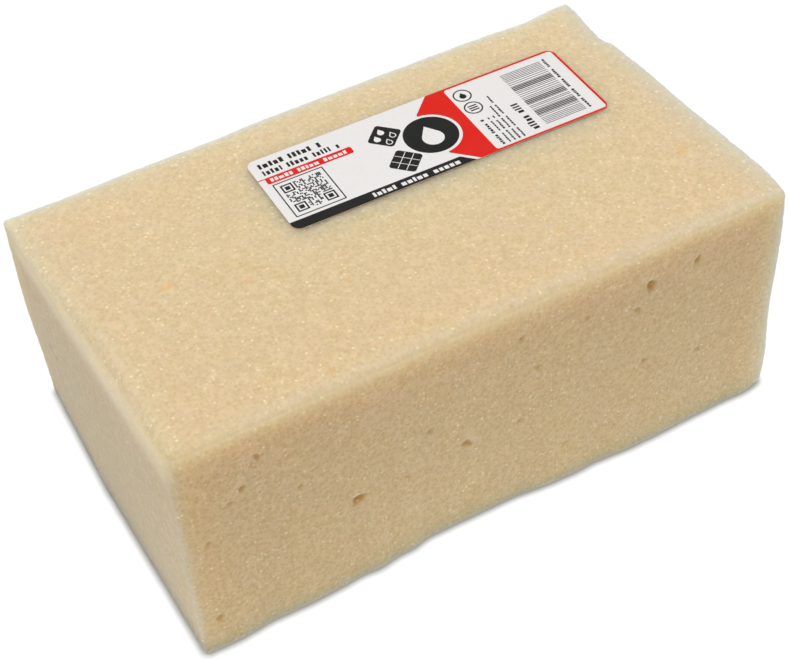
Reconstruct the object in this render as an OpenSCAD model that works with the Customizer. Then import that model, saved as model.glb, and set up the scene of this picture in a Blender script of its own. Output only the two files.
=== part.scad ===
// Tiler's washing sponge: a block of open-cell foam with a printed self-adhesive label.
// Frame: +X along the length, +Y towards the back, +Z up, origin under the centre of the base.

/* [Foam block] */
// Length of the block, along X
block_l = 170; // [120:1:220]
// Width of the block, along Y
block_w = 100; // [80:1:140]
// Height of the block, along Z
block_h = 70; // [40:1:90]
// Softening of the cut edges
edge_r = 2; // [0.5:0.1:4]

/* [Label stock] */
// Length of the label
label_l = 94; // [90:1:100]
// Width of the label
label_w = 30; // [29:0.5:34]
// Corner radius of the label
label_r = 2.5; // [1:0.1:3]
// Distance of the label's centre from the block's centre, along X
label_x = 22; // [-25:0.5:25]
// Distance of the label's centre from the block's centre, along Y
label_y = 18; // [-20:0.5:20]
// Turn of the label on the block, in degrees
label_turn = -0.7; // [-5:0.1:5]
// Thickness of the adhesive layer
adhesive_t = 0.05; // [0.02:0.01:0.1]
// Thickness of the white film
film_t = 0.10; // [0.05:0.01:0.2]
// Thickness of the printed ink
ink_t = 0.02; // [0.01:0.01:0.05]

/* [Label print] */
// Height of the black strip along the lower edge
strip_w = 3.3; // [2:0.1:4]
// Length of the framed panel at the right end
panel_l = 34.8; // [34:0.1:36]
// Width of the panel's red line
panel_line = 0.7; // [0.4:0.1:1]
// Length of the red field beside the panel, at its middle
field_l = 11.2; // [10.5:0.1:12]
// Radius of the black roundel
roundel_r = 7.5; // [5:0.1:7.8]
// White gap round the roundel
roundel_gap = 0.9; // [0.6:0.1:1.2]
// Side of the two black use pictograms, which stand on their corners
pictogram = 7.3; // [6:0.1:7.6]
// Outer side of the square frame round the dot code
code_frame = 14.4; // [13:0.1:14.5]
// Number of cells along a side of the dot code
code_cells = 25; // [17:2:25]
// Length of the bars in the bar code
bar_l = 12.6; // [10:0.1:13]
// Number of bars in the bar code
bars = 36; // [20:1:40]

/* [Hidden] */
$fn = 48;

// Heights of the label's layers above the base
film_z = block_h + adhesive_t;
ink_z = film_z + film_t;

// Places on the label, measured from its lower left corner
margin = 2.5;
panel_x = label_l - panel_l;
field_x = panel_x - field_l;
field_slant = 6;
roundel_at = [field_x - 0.6, label_w / 2];
pictogram_x = 36.6;
pictogram_y = [label_w / 2 - 5.9, label_w / 2 + 5.9];
strip_gap = 1.3;
size_y = [23, 25.9];
pill_y = 19.3;
pill_w = 2.7;
pill_l = 25;
pill_line = 0.35;
print_r = 0.9;
code_y = strip_w + 1;
code_wall = 0.35;
code_rest = 1.1;
code_fill = 0.9;
finder = 7;
mark_x = panel_x + 3.5;
mark_y = [18.9, 24.9];
mark_r = 2.6;
mark_line = 0.4;
bar_x = panel_x + 16.4;
bar_y = 2.8;
bar_run = 24.4;

// The bar code's dense groups: where they are along its run, from 0 to 1, and their half length
dense_at = [0.22, 0.44, 0.7];
dense_reach = 0.045;

// Upright lines: distance from the panel's left edge, length and height of the marks
upright_y = 1.6;
fine_lines = [
    [3.1, 11.6, 0.9],
    [4.8, 11.6, 0.55],
    [6.3, 11.6, 0.55],
    [7.8, 15.5, 0.55],
    [9.3, 19.6, 0.55]
];

// ---- Outlines that repeat ----

module rounded_rectangle(size, r) {
    for (x = [r, size.x - r], y = [r, size.y - r])
        translate([x, y]) circle(r);
    translate([r, 0]) square([size.x - 2 * r, size.y]);
    translate([0, r]) square([size.x, size.y - 2 * r]);
}

module frame_line(size, r, line) {
    difference() {
        rounded_rectangle(size, r);
        translate([line, line])
            rounded_rectangle(size - [2 * line, 2 * line], max(r - line, 0.1));
    }
}

module ring(r, line) {
    difference() {
        circle(r);
        circle(r - line);
    }
}

// A falling drop: a round belly under a point
module drop(r) {
    lean = 35;
    touch = r * [cos(lean), sin(lean)];
    tip = r / sin(lean);
    circle(r);
    polygon([touch, [0, tip], [-touch.x, touch.y]]);
}

function sum(list) = list * [for (v = list) 1];

// Where each item of a row begins, when the items follow one another from 0
function starts(list) =
    [for (i = 0, x = 0; i < len(list); x = x + list[i], i = i + 1) x];

// Stand-in for a line of lettering: plain blocks with gaps, no readable signs.
// Narrow blocks are as tall as the line and wide ones are lower, and each sixth is a space.
module lettering(length, height, count, seed) {
    gap = 0.24 * height;
    widths = rands(0.5, 1.0, count, seed);
    unit = (length - gap * (count - 1)) / sum(widths);
    places = starts(widths * unit);
    for (i = [0 : count - 1])
        if (i % 6 != 5)
            translate([places[i] + i * gap, 0])
                square([widths[i] * unit, height * (widths[i] < 0.75 ? 1 : 0.78)]);
}

// The label's frame: origin at its lower left corner, on the block's top
module on_label(z, thickness) {
    translate([label_x, label_y, z]) rotate(label_turn)
        translate([-label_l / 2, -label_w / 2]) linear_extrude(thickness) children();
}

// ---- Foam block ----

// A box with rounded edges and corners, standing on z = 0
module softened_box(size, r) {
    low = [-size.x / 2 + r, -size.y / 2 + r, r];
    high = [size.x / 2 - r, size.y / 2 - r, size.z - r];
    span = high - low;
    translate(low - [r, 0, 0]) cube(span + [2 * r, 0, 0]);
    translate(low - [0, r, 0]) cube(span + [0, 2 * r, 0]);
    translate(low - [0, 0, r]) cube(span + [0, 0, 2 * r]);
    for (x = [low.x, high.x], y = [low.y, high.y])
        translate([x, y, low.z]) cylinder(h = span.z, r = r);
    for (x = [low.x, high.x], z = [low.z, high.z])
        translate([x, low.y, z]) rotate([-90, 0, 0]) cylinder(h = span.y, r = r);
    for (y = [low.y, high.y], z = [low.z, high.z])
        translate([low.x, y, z]) rotate([0, 90, 0]) cylinder(h = span.x, r = r);
    for (x = [low.x, high.x], y = [low.y, high.y], z = [low.z, high.z])
        translate([x, y, z]) sphere(r);
}

module sponge_block() {
    color("#E1CAA2") softened_box([block_l, block_w, block_h], edge_r);
}

// ---- Label stock ----

module label_adhesive() {
    color("#E8DFC4") on_label(block_h, adhesive_t)
        rounded_rectangle([label_l, label_w], label_r);
}

module label_film() {
    color("#EDEDEC") on_label(film_z, film_t)
        rounded_rectangle([label_l, label_w], label_r);
}

// ---- Black print ----

// The strip ends on a slant, beside the red field's own
module black_strip() {
    strip_l = field_x + field_slant - strip_gap;
    difference() {
        intersection() {
            rounded_rectangle([label_l, label_w], label_r);
            polygon([[0, 0], [strip_l, 0], [strip_l - strip_w, strip_w], [0, strip_w]]);
        }
        translate([field_x - 25, 0.8]) lettering(25.4, 1.7, 17, 11);
    }
}

module size_lines() {
    translate([margin, size_y[1]]) lettering(18, 2, 13, 3);
    translate([margin, size_y[0]]) lettering(22, 1.9, 19, 5);
}

function in_finder(i, j, n) =
    (i < finder + 1 && j < finder + 1)
    || (i < finder + 1 && j > n - finder - 2)
    || (i > n - finder - 2 && j < finder + 1);

module code_finder(cell) {
    frame_line([finder * cell, finder * cell], 0.05, cell);
    translate([2 * cell, 2 * cell]) square(3 * cell);
}

// A made-up dot code: three corner marks and dots picked by a fixed seed
module dot_code() {
    n = code_cells;
    inset = code_wall + code_rest;
    cell = (code_frame - 2 * inset) / n;
    far = (n - finder) * cell;
    picks = rands(0, 1, n * n, 29);
    frame_line([code_frame, code_frame], 0.3, code_wall);
    translate([inset, inset]) {
        for (corner = [[0, 0], [0, far], [far, 0]])
            translate(corner) code_finder(cell);
        for (i = [0 : n - 1], j = [0 : n - 1])
            if (!in_finder(i, j, n) && picks[i * n + j] < 0.5)
                translate([i * cell, j * cell]) square(cell * code_fill);
    }
}

// A rounded square on its corner, centred
module pictogram_field() {
    rotate(45) translate([-pictogram / 2, -pictogram / 2])
        rounded_rectangle([pictogram, pictogram], print_r);
}

// Work with water: two full drops above two empty ones
module pictogram_wet() {
    full = 0.95;
    rim = 0.3;
    difference() {
        pictogram_field();
        for (place = [[-2.3, -0.4], [-0.2, 1.7]])
            translate(place) drop(full);
        for (place = [[0, -2.9], [2.1, -0.8]])
            translate(place) difference() {
                drop(full);
                drop(full - rim);
            }
    }
}

// Work on tiles: a grid of joints
module pictogram_tiles() {
    joint = 0.22;
    tile = (pictogram - 4 * joint) / 3;
    run = pictogram - 2 * joint;
    difference() {
        pictogram_field();
        rotate(45) for (side = [-1, 1]) {
            translate([side * (tile + joint) / 2 - joint / 2, -run / 2]) square([joint, run]);
            translate([-run / 2, side * (tile + joint) / 2 - joint / 2]) square([run, joint]);
        }
    }
}

// A plain disc with a drop in it
module roundel() {
    difference() {
        circle(roundel_r);
        translate([0, -1.3]) drop(3);
    }
}

// Two plain disposal marks: a ring round a drop and a ring round three lines
module disposal_marks() {
    translate([mark_x, mark_y[1]]) {
        ring(mark_r, mark_line);
        translate([0, -0.4]) drop(0.95);
    }
    translate([mark_x, mark_y[0]]) {
        ring(mark_r, mark_line);
        for (y = [-1.15, -0.25, 0.65])
            translate([-mark_r / 2, y]) square([mark_r, 0.45]);
    }
}

// Lines that read up the label, beside the bar code
module upright_lines() {
    for (i = [0 : len(fine_lines) - 1]) {
        line = fine_lines[i];
        translate([panel_x + line[0], upright_y]) rotate(90)
            lettering(line[1], line[2], round(line[1] * 1.1), 40 + i);
    }
    translate([panel_x + 14.3, margin]) rotate(90) lettering(12, 2.1, 10, 52);
}

function is_dense(part) =
    len([for (place = dense_at) if (abs(part - place) < dense_reach) place]) > 0;

// A made-up bar code: bars of one unit with gaps of two or three, picked by a fixed seed.
// In a dense group the bars are two units wide and their gaps one.
module bar_code() {
    picks = rands(1.6, 3.4, 2 * bars, 71);
    units = [for (i = [0 : 2 * bars - 1])
        let (dense = is_dense(i / (2 * bars)), bar = i % 2 == 0)
        bar ? (dense ? 2 : 1) : (dense ? 1 : round(picks[i]))];
    unit = bar_run / sum(units);
    places = starts(units);
    for (i = [0 : bars - 1])
        translate([bar_x, bar_y + places[2 * i] * unit])
            square([bar_l, units[2 * i] * unit]);
    translate([bar_x + bar_l + 1.6, bar_y]) rotate(90) lettering(bar_run, 0.8, 29, 83);
}

module label_black_print() {
    color("#262624") on_label(ink_z, ink_t) {
        black_strip();
        size_lines();
        translate([margin, code_y]) dot_code();
        translate([pictogram_x, pictogram_y[1]]) pictogram_wet();
        translate([pictogram_x, pictogram_y[0]]) pictogram_tiles();
        translate(roundel_at) roundel();
        disposal_marks();
        upright_lines();
        bar_code();
    }
}

// ---- Red print ----

module red_pill() {
    translate([0, pill_y + pill_w - pill_line]) square([margin, pill_line]);
    difference() {
        translate([margin - 0.6, pill_y]) rounded_rectangle([pill_l, pill_w], 0.6);
        translate([margin + 0.6, pill_y + 0.65]) lettering(pill_l - 3, 1.4, 17, 7);
    }
}

// The field's left corners are cut off on a slant, and the roundel bites into it
module red_field() {
    near = field_x + field_slant;
    high = label_w - field_slant;
    difference() {
        polygon([[panel_x, 0], [near, 0], [field_x, field_slant], [field_x, high],
                 [near, label_w], [panel_x, label_w]]);
        translate(roundel_at) circle(roundel_r + roundel_gap);
    }
}

module red_panel_line() {
    difference() {
        intersection() {
            rounded_rectangle([label_l, label_w], label_r);
            translate([panel_x, 0]) square([panel_l, label_w]);
        }
        translate([panel_x, panel_line])
            rounded_rectangle([panel_l - panel_line, label_w - 2 * panel_line], print_r);
    }
}

module label_red_print() {
    color("#E4301F") on_label(ink_z, ink_t) {
        red_pill();
        red_field();
        red_panel_line();
    }
}

sponge_block();
label_adhesive();
label_film();
label_black_print();
label_red_print();
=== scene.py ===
"""A tiler's washing sponge: a cut block of open-cell foam with a printed label on top.

The foam is a welded grid of the block, bent to its hand-cut shape, pitted, and then given its
cells by a Geometry Nodes tree. The label keeps its exact shape and gets its film and inks.
"""
import math

import bpy
import numpy as np
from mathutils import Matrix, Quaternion, Vector


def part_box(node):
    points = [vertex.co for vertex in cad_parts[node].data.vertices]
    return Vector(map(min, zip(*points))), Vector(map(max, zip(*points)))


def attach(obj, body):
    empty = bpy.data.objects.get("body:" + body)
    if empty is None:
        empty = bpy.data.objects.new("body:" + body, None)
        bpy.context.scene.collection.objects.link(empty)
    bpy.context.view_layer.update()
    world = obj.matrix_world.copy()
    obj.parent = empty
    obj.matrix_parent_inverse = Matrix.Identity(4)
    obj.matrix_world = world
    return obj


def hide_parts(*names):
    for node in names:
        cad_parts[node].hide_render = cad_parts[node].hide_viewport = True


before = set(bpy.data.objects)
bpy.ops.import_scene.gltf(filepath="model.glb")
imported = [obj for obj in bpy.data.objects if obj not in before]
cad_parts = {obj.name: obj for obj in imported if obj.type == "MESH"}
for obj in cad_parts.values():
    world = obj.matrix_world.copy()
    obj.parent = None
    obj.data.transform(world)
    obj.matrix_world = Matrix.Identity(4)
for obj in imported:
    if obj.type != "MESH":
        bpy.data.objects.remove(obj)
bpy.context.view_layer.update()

MM = 0.001

# ---- The block's shape ----
GRID_STEP = 0.5 * MM
EDGE_RADIUS = 1.0 * MM

# How far the long edges of each side stray outwards from the exact box, as (place along the
# edge, distance) in millimetres: first the lower edge, then the upper one
EDGE_LINES = {
    "front": (
        [(-85, 2.2), (-75, 2.5), (-66, 1.6), (-55, 2.0), (-46, 1.7), (-40, 1.1), (-35, 1.6),
         (-30, 0.6), (-25, 0.6), (-20, -0.7), (6, -0.6), (16, 0.7), (25, 1.0), (30, 0.6),
         (41, 1.5), (52, 1.4), (71, 0.9), (78, 1.4), (85, 0.4)],
        [(-85, -1.4), (-20, -1.1), (60, -1.0), (78, -0.9), (85, -0.4)],
    ),
    "back": (
        [(-85, 2.6), (85, 1.6)],
        [(-85, -2.1), (-70, -2.7), (-50, -2.0), (-25, -2.0), (-18, -1.4), (45, -1.4),
         (60, -1.8), (70, -2.5), (75, -1.7), (80, -1.0), (85, -1.2)],
    ),
    "left": (
        [(-50, 0.3), (-20, 0.7), (10, 1.1), (30, 0.5), (50, -0.3)],
        [(-50, -0.4), (50, 2.0)],
    ),
    "right": (
        [(-50, 2.7), (50, 0.9)],
        [(-50, 2.7), (-40, 3.1), (-20, 2.4), (-10, 1.8), (10, 1.5), (20, 0.9), (26, 0.6),
         (30, -1.0), (40, -0.2), (45, 0.4), (50, 0.3)],
    ),
}

# Rounder stretches of edge: where, how far along each axis, and how much rounder, in millimetres
SOFT_EDGES = [
    ((-85, -16, 70), (9, 38, 10), 6.5),
    ((0, -50, 70), (90, 8, 8), 3.0),
    ((85, -50, 35), (6, 6, 70), 0.7),
    ((85, -50, 0), (7, 7, 8), 0.8),
]

# Where a side swells or dips between its edges: place, reach and push, in millimetres
CUTS = [
    ((-85, 50, 38), (12, 22, 18), (-0.6, 0, 0)),
    ((85, -50, 30), (12, 16, 12), (-0.5, 0, 0)),
    ((85, -50, 10), (12, 16, 9), (0.5, 0, 0)),
]

# Open pores on the front, and shallow ones on the top, each sunk and given painted shade: the place
# across and up the face, the radius and the depth, in millimetres
PORES = {
    "top": [
        (-60, 3, 1.7, 0.3), (-43, -6, 0.9, 0.2), (30, -31, 1.1, 0.3), (72.5, -22.5, 2.0, 0.2),
        (6, -31, 0.9, 0.2), (-22, -19, 1.0, 0.2), (-40, -44, 1.0, 0.3), (29, -41, 0.9, 0.2),
    ],
    "front": [
        (45.3, 57.8, 1.6, 1.1), (-39, 29.6, 1.7, 1.0), (-7.8, 30.3, 1.3, 0.8),
        (58.8, 59.6, 1.2, 0.8), (41.5, 51.5, 1.0, 0.7), (8, 59, 0.9, 0.6), (12.5, 47, 0.9, 0.5),
        (-18, 41, 1.0, 0.5), (-25, 29, 0.9, 0.5), (7.5, 29.6, 0.8, 0.5), (44, 32, 1.0, 0.5),
        (61, 26.8, 1.0, 0.5), (-63, 59.6, 1.1, 0.6), (-64.7, 57.5, 0.9, 0.4),
        (-68, 51.5, 1.0, 0.7), (-71.5, 48.4, 1.0, 0.5), (-78.8, 38.4, 0.9, 0.5),
        (-79.4, 11.5, 1.2, 0.6), (20.6, 14, 0.8, 0.4), (-53.8, 43.4, 0.8, 0.5),
        (26.6, 56.5, 0.9, 0.4),
    ],
}

# How many more pores are strewn at random over each of the other sides
STREWN_PORES = {"back": 16, "left": 4, "right": 16, "bottom": 16}

# How strongly the painted shade in the fine cell hollows shows on each side. Sides are numbered
# two to an axis: left, right, front, back, bottom, top.
CELL_SHADE_BY_SIDE = (0.6, 1.0, 1.3, 1.0, 1.0, 0.95)

# The label's length and width, and its turn on the block
LABEL_SIZE = (94 * MM, 30 * MM)
LABEL_TURN = math.radians(-0.7)

# How much of its colour the print keeps in its duller specks
PRINT_DULLING = 0.92

# The foam's own colours, then the painted shade in its cell hollows and the painted glints off its
# cell skins, with how strongly each shows
FOAM_DEEP = (0.78, 0.61, 0.365, 1)
FOAM_LIGHT = (0.86, 0.69, 0.445, 1)
FOAM_DRIFT = (0.81, 0.64, 0.43, 1)
HOLLOW_COLOUR = (0.57, 0.425, 0.205, 1)
HOLLOW_SHARE = 0.63
GLINT_COLOUR = (0.98, 0.84, 0.58, 1)
GLINT_SHARE = 0.88

# Painted light and shade on the foam, in the order they are laid on: the attribute that holds
# each, how strongly it shows, and its colour
FOAM_MARKS = [
    # painted light: a grey fringe along the edges, where light shows through the thin foam
    ("painted_edge_fringe", 0.68, (0.58, 0.545, 0.50)),
    # painted light: a pale green-blue fringe on the far edges, where light shows through from behind
    ("painted_backlit_fringe", 1.0, (0.60, 0.73, 0.72)),
    # painted highlight where the soft roll below the top edge catches the light
    ("painted_edge_highlight", 1.0, (0.95, 0.80, 0.56)),
    # painted shade at the foot of the left side, and faintly along its front edge
    ("painted_foot_shade", 1.0, (0.31, 0.285, 0.262)),
    # painted shade in the small pits of the skin
    ("pit", 0.2, (0.56, 0.36, 0.17)),
    # painted shade, an orange tint, in the shallow pores on the top
    ("painted_top_pore_shade", 1.0, (0.84, 0.55, 0.25)),
    # painted shade inside the deeper pores on the other sides
    ("pore", 0.85, (0.57, 0.395, 0.17)),
]


# ---- Helpers for node trees ----

def add(tree, kind, inputs=None, **settings):
    """A new node. Each input gets a value, or the socket that feeds it."""
    made = tree.nodes.new(kind)
    for name, value in settings.items():
        setattr(made, name, value)
    for name, value in (inputs or {}).items():
        if isinstance(value, bpy.types.NodeSocket):
            tree.links.new(value, made.inputs[name])
        else:
            made.inputs[name].default_value = value
    return made


def maths(tree, operation, a, b=0.0):
    return add(tree, "ShaderNodeMath", {0: a, 1: b}, operation=operation).outputs[0]


def remap(tree, value, low, high, to_low=0.0, to_high=1.0, curve="SMOOTHSTEP"):
    inputs = {"Value": value, "From Min": low, "From Max": high,
              "To Min": to_low, "To Max": to_high}
    return add(tree, "ShaderNodeMapRange", inputs, interpolation_type=curve).outputs[0]


def blend_colour(tree, factor, a, b):
    inputs = {0: factor, 6: a, 7: b}
    return add(tree, "ShaderNodeMix", inputs, data_type="RGBA").outputs[2]


def new_group(name, kind, ins, outs):
    """An empty node group with named sockets, each given as (name, kind of socket, value)."""
    tree = bpy.data.node_groups.new(name, kind)
    for way, sockets in (("INPUT", ins), ("OUTPUT", outs)):
        for label, sort, value in sockets:
            made = tree.interface.new_socket(label, in_out=way, socket_type="NodeSocket" + sort)
            if value is not None:
                made.default_value = value
    return tree, add(tree, "NodeGroupInput").outputs, add(tree, "NodeGroupOutput")


# ---- The foam block ----

def lattice():
    """The welded grid of the block's six sides: points, faces, and each face's side and place."""
    low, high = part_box("sponge_block")
    size = np.array(high - low)
    cells = np.round(size / GRID_STEP).astype(int)
    keys, quads, sides, spots = [], [], [], []
    for axis in range(3):
        u, v = (axis + 1) % 3, (axis + 2) % 3
        iu, iv = np.meshgrid(np.arange(cells[u]), np.arange(cells[v]), indexing="ij")
        for end in (0, 1):
            around = [(0, 0), (1, 0), (1, 1), (0, 1)] if end else [(0, 0), (0, 1), (1, 1), (1, 0)]
            corner = np.zeros((iu.size, 4, 3), int)
            corner[:, :, axis] = cells[axis] * end
            for k, (du, dv) in enumerate(around):
                corner[:, k, u] = iu.ravel() + du
                corner[:, k, v] = iv.ravel() + dv
            keys.append(corner.reshape(-1, 3))
            sides += [2 * axis + end] * iu.size
            spots.append(corner[:, :, [u, v]].reshape(-1, 2) / cells[[u, v]])
    keys = np.concatenate(keys)
    # One number for each grid point, so that sides share the points where they meet
    stride = cells.max() + 1
    code = (keys[:, 0] * stride + keys[:, 1]) * stride + keys[:, 2]
    _, first, index = np.unique(code, return_index=True, return_inverse=True)
    points = keys[first] / cells * size + np.array(low)
    return points, index.reshape(-1, 4), np.array(sides), np.concatenate(spots)


def falloff(points, place, reach):
    """1 at the place, fading to nothing over the reach along each axis."""
    away = (points - np.array(place) * MM) / (np.array(reach) * MM)
    return np.exp(-(away ** 2).sum(1))


def stray(knots, along):
    """How far an edge strays at each place along it: straight runs with eased bends.

    The half run and the step are in millimetres, and each bend is eased over so many steps."""
    half_run, step, bend_steps = 95, 0.5, 4
    fine = np.arange(-half_run, half_run + step / 2, step)
    line = np.interp(fine, *zip(*knots))
    window = np.hanning(2 * bend_steps + 1)
    eased = np.convolve(np.pad(line, bend_steps, "edge"), window / window.sum(), "valid")
    return np.interp(along / MM, fine, eased) * MM


def cut_to_shape(points):
    """Rounds the edges, then bends the exact box to the block as it was cut."""
    low, high = (np.array(corner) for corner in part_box("sponge_block"))
    radius = np.full(len(points), EDGE_RADIUS)
    for place, reach, extra in SOFT_EDGES:
        radius += falloff(points, place, reach) * extra * MM
    core = np.clip(points, low + radius[:, None], high - radius[:, None])
    out = points - core
    length = np.linalg.norm(out, axis=1, keepdims=True)
    shaped = core + out / length * radius[:, None]
    x, y, _ = points.T
    part = (points - low) / (high - low)
    rise = part[:, 2]
    # For each side: its axis and outward way, the place along it, and how near a point is to it
    sides = {"left": (0, -1, y, 1 - part[:, 0]), "right": (0, 1, y, part[:, 0]),
             "front": (1, -1, x, 1 - part[:, 1]), "back": (1, 1, x, part[:, 1])}
    for side, (axis, way, along, nearness) in sides.items():
        lower, upper = (stray(knots, along) for knots in EDGE_LINES[side])
        shaped[:, axis] += way * nearness ** 3 * (lower * (1 - rise) + upper * rise)
    for place, reach, push in CUTS:
        shaped += falloff(points, place, reach)[:, None] * np.array(push) * MM
    return shaped


def fade(gap, reach, sharpness=2.0):
    """1 where the gap is nothing, fading out over the reach."""
    return np.exp(-(gap / reach) ** sharpness)


def edge_marks(points):
    """Where light and shade are painted at the edges: see-through fringes, a highlight, shade at the
    foot.

    Every gap, reach and width here is in millimetres."""
    low, high = (np.array(corner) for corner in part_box("sponge_block"))
    part = (points - low) / (high - low)
    gaps = np.maximum(np.concatenate([points - low, high - points], axis=1), 0) / MM
    from_left, from_front, from_foot, from_right, from_back, below = gaps.T
    from_edge = np.sort(gaps, axis=1)[:, 1]
    on_left, on_front, on_top = fade(from_left, 1.8), fade(from_front, 1.8), fade(below, 4)
    past_edge = np.clip((below + 0.5) / 1.5, 0, 1)
    top_face = 1.5 * (1 - past_edge)
    # Painted light: how strongly the grey see-through fringe shows along the top's rims
    top_rims = top_face * np.maximum.reduce([
        (0.2 + 0.25 * part[:, 0]) * fade(from_front, 5, 4),
        0.5 * fade(from_right, 7),
        0.33 * fade(from_back, 6),
        (0.15 + 0.2 * part[:, 1]) * fade(from_left, 10),
    ])
    # Painted light: a see-through fringe on the top near the right and back edges
    far_rims = 0.3 * top_face * fade(np.minimum(from_right, from_back), 2.5, 1)
    right_upright = fade(from_right + from_front, 2.5, 1) * (1 - on_top)
    front_upright = (on_left * on_front) ** 0.4
    any_edge = fade(from_edge, 2.1) * np.maximum(0.15, on_top * (0.45 + 0.55 * part[:, 1] ** 2))
    any_edge *= 1 - 0.8 * fade(from_left, 4) * on_top
    # Painted highlight on the front and left sides just below the top edge
    under_front = 0.48 * on_front * fade(below, 3.5, 1.5)
    under_left = (0.62 + 0.25 * part[:, 1]) * np.clip(9 - 9 * part[:, 1], 0, 1)
    under_left *= on_left * fade(below - 5.3, 4)
    return {
        # painted light: grey see-through fringe along the edges
        "painted_edge_fringe": np.maximum.reduce([any_edge, top_rims, 0.35 * front_upright]),
        # painted light: green-blue see-through fringe
        "painted_backlit_fringe": np.maximum(right_upright, far_rims),
        # painted highlight below the top edge
        "painted_edge_highlight": np.maximum(under_front, under_left) * past_edge,
        # painted shade at the foot of the left side
        "painted_foot_shade": np.maximum(on_left * fade(from_foot, 4.5, 1), 0.1 * front_upright),
    }


def cell_shade_share(quads, sides, count):
    """Each point's share of how strongly its sides show the painted cell shade."""
    total, uses = np.zeros(count), np.zeros(count)
    np.add.at(total, quads, np.array(CELL_SHADE_BY_SIDE)[sides][:, None])
    np.add.at(uses, quads, 1)
    return total / uses


def pore_places():
    """All the large pores, as (place, inward direction, radius, depth)."""
    low, high = (np.array(corner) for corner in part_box("sponge_block"))
    pick = np.random.default_rng(41)
    pores = []
    for x, y, radius, depth in PORES["top"]:
        pores.append(((x * MM, y * MM, high[2]), (0, 0, -1), radius, depth))
    for x, z, radius, depth in PORES["front"]:
        pores.append(((x * MM, low[1], z * MM), (0, 1, 0), radius, depth))
    inward = {"back": (0, -1, 0), "left": (1, 0, 0), "right": (-1, 0, 0), "bottom": (0, 0, 1)}
    for side, count in STREWN_PORES.items():
        way = np.array(inward[side])
        for _ in range(count):
            spot = low + (high - low) * pick.uniform(0.06, 0.94, 3)
            spot = np.where(way > 0, low, np.where(way < 0, high, spot))
            radius = pick.uniform(0.7, 1.4)
            pores.append((spot, way, radius, radius * pick.uniform(0.5, 0.8)))
    return pores


def press_pores(shaped, points):
    """Sinks each pore and returns how much painted pore shade each point gets, off the top and on it,
    0 to 1.
    """
    inside, top_pore_shade_mask = np.zeros(len(points)), np.zeros(len(points))
    pick = np.random.default_rng(8)
    for place, way, radius, depth in pore_places():
        near = np.linalg.norm(points - place, axis=1) < 2 * radius * MM
        away = (points[near] - place) / (radius * MM)
        turn = np.arctan2(away @ np.roll(way, 1), away @ np.roll(way, 2))
        lean, notch = pick.uniform(0, 2 * math.pi, 2)
        # An uneven rim. A pore is at full depth in its middle third and ends just past its rim.
        uneven = 1 + 0.18 * np.sin(2 * turn + lean) + 0.12 * np.sin(3 * turn + notch)
        part = np.clip((1.25 - np.linalg.norm(away, axis=1) * uneven) / 0.9, 0, 1)
        part = part * part * (3 - 2 * part)
        shaped[near] += part[:, None] * np.array(way) * depth * MM
        # Painted pore shade: the deeper the pore, the stronger; the top ones get a little more
        on_top = way[2] < 0
        mark = top_pore_shade_mask if on_top else inside
        strength = min(depth + (0.2 if on_top else 0), 1.0)
        mark[near] = np.maximum(mark[near], part * strength)
    return inside, top_pore_shade_mask


def under_label(points):
    """1 where the label presses the foam flat, fading out just past its edge."""
    centre = sum(np.array(corner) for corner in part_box("label_film")) / 2
    cos, sin = math.cos(LABEL_TURN), math.sin(LABEL_TURN)
    x, y = (points[:, :2] - centre[:2]).T
    along = np.abs(x * cos + y * sin) - LABEL_SIZE[0] / 2
    across = np.abs(y * cos - x * sin) - LABEL_SIZE[1] / 2
    out = np.maximum(along, across)
    on_top = points[:, 2] > centre[2] - 1 * MM
    return np.clip(1 - out / (0.8 * MM), 0, 1) * on_top


def bake_map(mesh, sides, spots):
    """Six flat islands to one scale: four sides stacked, the two ends beside them."""
    low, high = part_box("sponge_block")
    length, width, height = high - low
    gap = 6 * MM
    tall = 2 * (width + height) + 5 * gap
    island = {
        5: (0, gap, length, width),
        2: (0, 2 * gap + width, length, height),
        4: (0, 3 * gap + width + height, length, width),
        3: (0, 4 * gap + 2 * width + height, length, height),
        1: (length + gap, gap, height, width),
        0: (length + gap, 2 * gap + width, height, width),
    }
    place = np.zeros_like(spots)
    side = np.repeat(sides, 4)
    for number, (left, foot, across, up) in island.items():
        here = side == number
        # The bottom and the top lie as they are. The upright sides swap their two coordinates,
        # so that every island keeps its true proportions.
        first, second = (0, 1) if number in (4, 5) else (1, 0)
        place[here, 0] = (left + gap + spots[here, first] * across) / tall
        place[here, 1] = (foot + spots[here, second] * up) / tall
    layer = mesh.uv_layers.new(name="OFBake")
    layer.data.foreach_set("uv", place.astype(np.float32).ravel())


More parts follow.
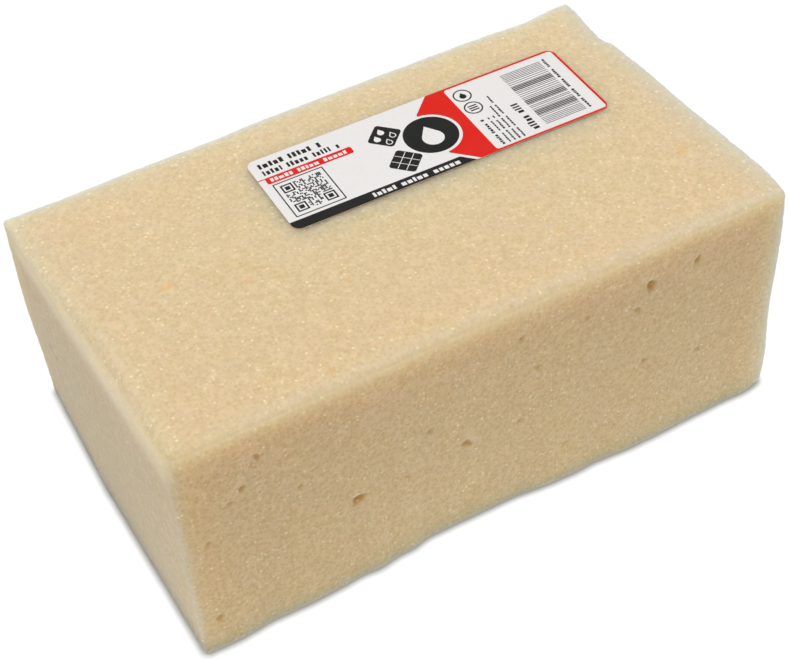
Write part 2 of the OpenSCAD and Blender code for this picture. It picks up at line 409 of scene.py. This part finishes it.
def relief_tree():
    """The foam's skin, moved along its normal: slow waves, open cells and small pits."""
    sizes = [
        ("Wave height", "Float", 0.35 * MM), ("Wave length", "Float", 22 * MM),
        ("Cell size", "Float", 1.9 * MM), ("Cell depth", "Float", 0.16 * MM),
        ("Pit size", "Float", 3.4 * MM), ("Pit depth", "Float", 0.3 * MM),
        ("Sink", "Float", 0.12 * MM), ("Seed", "Float", 3.0),
    ]
    tree, given, end = new_group(
        "foam_relief", "GeometryNodeTree",
        [("Geometry", "Geometry", None), ("Material", "Material", None), *sizes],
        [("Geometry", "Geometry", None)],
    )
    where = add(tree, "GeometryNodeInputPosition").outputs[0]
    wave = add(tree, "ShaderNodeTexNoise", {
        "Vector": where, "W": given["Seed"], "Detail": 1.0,
        "Scale": maths(tree, "DIVIDE", 1.0, given["Wave length"]),
    }, noise_dimensions="4D").outputs[0]
    height = maths(tree, "MULTIPLY", maths(tree, "SUBTRACT", wave, 0.5), given["Wave height"])
    cells = add(tree, "ShaderNodeTexVoronoi", {
        "Vector": where, "W": given["Seed"], "Scale": maths(tree, "DIVIDE", 1.0, given["Cell size"]),
    }, voronoi_dimensions="4D")
    hollow = remap(tree, cells.outputs["Distance"], 0.15, 0.7, 1.0, 0.0)
    height = maths(tree, "SUBTRACT", height, maths(tree, "MULTIPLY", hollow, given["Cell depth"]))
    pits = add(tree, "ShaderNodeTexVoronoi", {
        "Vector": where, "W": given["Seed"], "Scale": maths(tree, "DIVIDE", 1.0, given["Pit size"]),
    }, voronoi_dimensions="4D")
    chance = add(tree, "ShaderNodeSeparateXYZ", {0: pits.outputs["Color"]}).outputs[0]
    chosen = maths(tree, "GREATER_THAN", chance, 0.86)
    pit = maths(tree, "MULTIPLY", remap(tree, pits.outputs["Distance"], 0.08, 0.3, 1.0, 0.0), chosen)
    height = maths(tree, "SUBTRACT", height, maths(tree, "MULTIPLY", pit, given["Pit depth"]))
    pressed = add(tree, "GeometryNodeInputNamedAttribute", {"Name": "pressed"},
                  data_type="FLOAT").outputs["Attribute"]
    free = maths(tree, "SUBTRACT", 1.0, pressed)
    height = maths(tree, "SUBTRACT", maths(tree, "MULTIPLY", height, free), given["Sink"])
    push = add(tree, "ShaderNodeVectorMath", {
        0: add(tree, "GeometryNodeInputNormal").outputs[0], "Scale": height,
    }, operation="SCALE").outputs[0]
    moved = add(tree, "GeometryNodeSetPosition", {"Geometry": given["Geometry"], "Offset": push})
    # The pits are kept so the material can paint shade into them
    kept = add(tree, "GeometryNodeStoreNamedAttribute", {
        "Geometry": moved.outputs[0], "Name": "pit", "Value": maths(tree, "MULTIPLY", pit, free),
    }, data_type="FLOAT", domain="POINT")
    real = add(tree, "GeometryNodeRealizeInstances", {"Geometry": kept.outputs[0]})
    done = add(tree, "GeometryNodeSetMaterial", {
        "Geometry": real.outputs[0], "Material": given["Material"]})
    tree.links.new(done.outputs[0], end.inputs[0])
    return tree


def grown(piece, tree, values):
    """Runs a Geometry Nodes tree on a piece and leaves the result as its plain mesh."""
    modifier = piece.modifiers.new(tree.name, "NODES")
    modifier.node_group = tree
    for socket in tree.interface.items_tree:
        if socket.in_out == "INPUT" and socket.name in values:
            modifier[socket.identifier] = values[socket.name]
    seen = piece.evaluated_get(bpy.context.evaluated_depsgraph_get())
    result = bpy.data.meshes.new_from_object(seen)
    piece.modifiers.clear()
    piece.data = result
    return piece


def foam_block(material):
    points, quads, sides, spots = lattice()
    shaped = cut_to_shape(points)
    inside, top_pore_shade_mask = press_pores(shaped, points)
    mesh = bpy.data.meshes.new("foam_block")
    mesh.from_pydata(shaped.tolist(), [], quads.tolist())
    bake_map(mesh, sides, spots)
    # Painted light and shade for the material to lay on, along with the pressed area under the label
    marks = {"pore": inside, "painted_top_pore_shade": top_pore_shade_mask, "pressed": under_label(points),
             "open": cell_shade_share(quads, sides, len(points)), **edge_marks(points)}
    for name, value in marks.items():
        layer = mesh.attributes.new(name, "FLOAT", "POINT")
        layer.data.foreach_set("value", value.astype(np.float32))
    mesh.polygons.foreach_set("use_smooth", [True] * len(mesh.polygons))
    piece = bpy.data.objects.new("foam_block", mesh)
    bpy.context.scene.collection.objects.link(piece)
    grown(piece, relief_tree(), {"Material": material})
    return piece


# ---- Materials ----

def new_material(name, **settings):
    """A material with its shader, whose even values are set on the shader's own sockets."""
    material = bpy.data.materials.new(name)
    material.use_nodes = True
    shader = material.node_tree.nodes["Principled BSDF"]
    for label, value in settings.items():
        shader.inputs[label.replace("_", " ")].default_value = value
    return material, material.node_tree, shader


def cell_group():
    """Open cells seen from outside: their height, their hollows as painted shade mixed with fine
    grain, and painted glints off their skins.
    """
    tree, given, end = new_group(
        "foam_cells", "ShaderNodeTree",
        [("Vector", "Vector", None), ("Cell size", "Float", 1.2 * MM)],
        [("Height", "Float", None), ("Hollow", "Float", None), ("Glint", "Float", None)],
    )
    scale = maths(tree, "DIVIDE", 1.0, given["Cell size"])
    cells = add(tree, "ShaderNodeTexVoronoi", {"Vector": given["Vector"], "Scale": scale})
    small = add(tree, "ShaderNodeTexVoronoi", {
        "Vector": given["Vector"], "Scale": maths(tree, "MULTIPLY", scale, 1.8)})
    skins = add(tree, "ShaderNodeTexVoronoi", {
        "Vector": given["Vector"], "Scale": maths(tree, "MULTIPLY", scale, 1.2)})
    grain = add(tree, "ShaderNodeTexNoise", {
        "Vector": given["Vector"], "Scale": maths(tree, "MULTIPLY", scale, 2.4), "Detail": 2.0})
    # The dark hollows and dimples are painted shade in the cells; the grain mixed in is the foam's own
    hollow = remap(tree, cells.outputs["Distance"], 0.1, 0.75, 1.0, 0.0)
    dimple = remap(tree, small.outputs["Distance"], 0.1, 0.8, 1.0, 0.0)
    rough = maths(tree, "SUBTRACT", 1.0, grain.outputs[0])
    dark = maths(tree, "ADD", maths(tree, "MULTIPLY", hollow, 0.42),
                 maths(tree, "MULTIPLY", dimple, 0.25))
    dark = maths(tree, "ADD", dark, maths(tree, "MULTIPLY", rough, 0.4))
    # Painted glints: a few cells, picked at random, get a bright spot where their skins would catch
    # the light
    chance = add(tree, "ShaderNodeSeparateXYZ", {0: skins.outputs["Color"]}).outputs[0]
    chosen = maths(tree, "POWER", chance, 7.0)
    skin = remap(tree, skins.outputs["Distance"], 0.05, 0.6, 1.0, 0.0)
    glint = maths(tree, "MULTIPLY", chosen, skin)
    tree.links.new(maths(tree, "SUBTRACT", 1.0, dark), end.inputs["Height"])
    tree.links.new(dark, end.inputs["Hollow"])
    tree.links.new(glint, end.inputs["Glint"])
    return tree


def attribute(tree, name):
    """A mark that the foam's mesh carries at each of its points."""
    return add(tree, "ShaderNodeAttribute", attribute_name=name).outputs["Fac"]


def foam_material():
    material, tree, shader = new_material(
        "open_cell_foam", Roughness=0.85, Subsurface_Weight=1.0, Subsurface_Scale=18 * MM,
        Subsurface_Radius=(1.0, 0.75, 0.5), Specular_IOR_Level=0.2)
    where = add(tree, "ShaderNodeTexCoord").outputs["Object"]
    cells = add(tree, "ShaderNodeGroup", {"Vector": where}, node_tree=cell_group())
    cloud = add(tree, "ShaderNodeTexNoise", {"Vector": where, "Scale": 420.0, "Detail": 2.0})
    drift = add(tree, "ShaderNodeTexNoise", {"Vector": where, "Scale": 120.0, "Detail": 2.0})
    base = blend_colour(tree, remap(tree, cloud.outputs[0], 0.3, 0.7),
                        FOAM_DEEP, FOAM_LIGHT)
    base = blend_colour(tree, remap(tree, drift.outputs[0], 0.35, 0.65, 0.0, 0.55),
                        base, FOAM_DRIFT)
    # Painted shade in the fine cell hollows, stronger on some sides than others
    shown = maths(tree, "MULTIPLY", attribute(tree, "open"), HOLLOW_SHARE)
    base = blend_colour(tree, maths(tree, "MULTIPLY", cells.outputs["Hollow"], shown),
                        base, HOLLOW_COLOUR)
    # The painted light and shade of the foam marks
    for name, share, colour in FOAM_MARKS:
        mark = maths(tree, "MULTIPLY", attribute(tree, name), share)
        base = blend_colour(tree, mark, base, (*colour, 1))
    # Painted glints laid into the colour; the roughness drop under them is real gloss
    base = blend_colour(tree, maths(tree, "MULTIPLY", cells.outputs["Glint"], GLINT_SHARE),
                        base, GLINT_COLOUR)
    tree.links.new(base, shader.inputs["Base Color"])
    gloss = remap(tree, cells.outputs["Glint"], 0.0, 1.0, 0.88, 0.45)
    tree.links.new(gloss, shader.inputs["Roughness"])
    bump = add(tree, "ShaderNodeBump", {
        "Height": cells.outputs["Height"], "Strength": 0.3, "Distance": 0.3 * MM})
    tree.links.new(bump.outputs[0], shader.inputs["Normal"])
    return material


def print_group():
    """Film or ink on a soft backing: uneven colour, uneven gloss and faint lumps."""
    tree, given, end = new_group(
        "print_surface", "ShaderNodeTree",
        [("Vector", "Vector", None), ("Colour", "Color", None), ("Dull colour", "Color", None),
         ("Roughness", "Float", 0.3), ("Lump size", "Float", 4.5 * MM)],
        [("Colour", "Color", None), ("Roughness", "Float", None), ("Height", "Float", None)],
    )
    lumps = add(tree, "ShaderNodeTexNoise", {
        "Vector": given["Vector"], "Detail": 1.0,
        "Scale": maths(tree, "DIVIDE", 1.0, given["Lump size"])}).outputs[0]
    specks = add(tree, "ShaderNodeTexNoise", {
        "Vector": given["Vector"], "Scale": 2500.0, "Detail": 1.0}).outputs[0]
    colour = blend_colour(tree, specks, given["Dull colour"], given["Colour"])
    uneven = maths(tree, "ADD", given["Roughness"], remap(tree, lumps, 0.3, 0.7, -0.04, 0.04))
    tree.links.new(colour, end.inputs["Colour"])
    tree.links.new(uneven, end.inputs["Roughness"])
    tree.links.new(lumps, end.inputs["Height"])
    return tree


def print_material(name, surface, colour, roughness):
    material, tree, shader = new_material(
        name, Coat_Weight=0.1, Coat_Roughness=0.2, Specular_IOR_Level=0.3)
    where = add(tree, "ShaderNodeTexCoord").outputs["Object"]
    made = add(tree, "ShaderNodeGroup", {
        "Vector": where, "Colour": (*colour, 1), "Roughness": roughness,
        "Dull colour": (*(part * PRINT_DULLING for part in colour), 1)}, node_tree=surface)
    tree.links.new(made.outputs["Colour"], shader.inputs["Base Color"])
    tree.links.new(made.outputs["Roughness"], shader.inputs["Roughness"])
    bump = add(tree, "ShaderNodeBump", {
        "Height": made.outputs["Height"], "Strength": 0.25, "Distance": 0.15 * MM})
    tree.links.new(bump.outputs[0], shader.inputs["Normal"])
    return material


def finish_label():
    surface = print_group()
    finishes = {
        "label_adhesive": ("label_glue", (0.72, 0.66, 0.50), 0.45),
        "label_film": ("label_white_film", (0.90, 0.88, 0.865), 0.35),
        "label_black_print": ("label_black_ink", (0.010, 0.010, 0.009), 0.38),
        "label_red_print": ("label_red_ink", (0.80, 0.012, 0.004), 0.38),
    }
    for name, (label, colour, roughness) in finishes.items():
        material = print_material(label, surface, colour, roughness)
        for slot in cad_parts[name].material_slots:
            slot.material = material


# ---- Studio ----

def camera():
    lens = bpy.data.cameras.new("camera")
    lens.lens = 78.05
    lens.clip_start = 0.01
    piece = bpy.data.objects.new("camera", lens)
    bpy.context.scene.collection.objects.link(piece)
    piece.location = (-0.1474, -0.2897, 0.3576)
    aim = Vector((-0.0055, -0.0088, 0.035))
    look = (aim - piece.location).to_track_quat("-Z", "Y")
    roll = Quaternion((0, 0, 1), math.radians(-3.6))
    piece.rotation_euler = (look @ roll).to_euler()
    bpy.context.scene.camera = piece


def area_light(name, place, aim, size, power, colour=(1, 1, 1)):
    lamp = bpy.data.lights.new(name, "AREA")
    lamp.shape = "SQUARE"
    lamp.size = size
    lamp.energy = power
    lamp.color = colour
    piece = bpy.data.objects.new(name, lamp)
    bpy.context.scene.collection.objects.link(piece)
    piece.location = place
    way = Vector(aim) - Vector(place)
    piece.rotation_euler = way.to_track_quat("-Z", "Y").to_euler()


def floor_paper():
    """White paper that glows to light the block from below, with a painted shadow where the block
    meets it.
    """
    material, tree, shader = new_material(
        "white_paper", Base_Color=(0.0, 0.0, 0.0, 1), Roughness=1.0, Specular_IOR_Level=0.0)
    # The painted contact shadow that the camera sees
    contact = add(tree, "ShaderNodeAmbientOcclusion", {"Distance": 2 * MM}, samples=16)
    clear = remap(tree, contact.outputs["AO"], 0.45, 0.97, curve="LINEAR")
    seen_tone = blend_colour(tree, clear, (0.365, 0.35, 0.305, 1), (1.02, 1.02, 1.02, 1))
    # What the block receives from the paper's glow: painted shade close to it, a brighter pool in
    # front
    shade = add(tree, "ShaderNodeAmbientOcclusion", {"Distance": 5 * MM}, samples=4)
    dim = remap(tree, shade.outputs["AO"], 0.4, 1.0, 0.15, 0.82, curve="LINEAR")
    where = add(tree, "ShaderNodeTexCoord").outputs["Object"]
    squeezed = add(tree, "ShaderNodeVectorMath", {0: where, 1: (0.5, 1.0, 1.0)},
                   operation="MULTIPLY").outputs[0]
    from_front = add(tree, "ShaderNodeVectorMath", {0: squeezed, 1: (0.005, -0.1, 0.0)},
                     operation="DISTANCE").outputs["Value"]
    glow = remap(tree, from_front, 0.04, 0.13, 1.4, 1.0)
    cast_tone = add(tree, "ShaderNodeVectorMath", {
        0: (1.0, 1.0, 1.0), "Scale": maths(tree, "MULTIPLY", dim, glow)}, operation="SCALE").outputs[0]
    seen = add(tree, "ShaderNodeLightPath").outputs["Is Camera Ray"]
    tone = blend_colour(tree, seen, cast_tone, seen_tone)
    tree.links.new(tone, shader.inputs["Emission Color"])
    shader.inputs["Emission Strength"].default_value = 1.0
    return material


def studio():
    half = 4.0
    mesh = bpy.data.meshes.new("floor")
    mesh.from_pydata([(-half, -half, 0), (half, -half, 0), (half, half, 0), (-half, half, 0)],
                     [], [(0, 1, 2, 3)])
    floor = bpy.data.objects.new("floor", mesh)
    bpy.context.scene.collection.objects.link(floor)
    floor.location.z = -0.2 * MM
    mesh.materials.append(floor_paper())
    area_light("overhead", (-0.04, 0.3, 2.0), (0, 0, 0.03), 1.2, 32.6)
    area_light("cool_window", (-0.5, 0.12, 0.07), (-0.085, 0, 0.04), 0.3, 0.17, (0.48, 0.66, 1.0))
    area_light("warm_card", (-0.12, -0.9, 0.25), (0, 0, 0.04), 0.5, 0.61, (1.0, 0.60, 0.0))
    world = bpy.data.worlds.new("studio")
    world.use_nodes = True
    world.node_tree.nodes["Background"].inputs["Strength"].default_value = 0.22
    world.node_tree.nodes["Background"].inputs["Color"].default_value = (1, 1, 1, 1)
    bpy.context.scene.world = world
    bpy.context.scene.view_settings.view_transform = "Standard"


camera()
foam = foam_block(foam_material())
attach(foam, "root")
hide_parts("sponge_block")
finish_label()
studio()
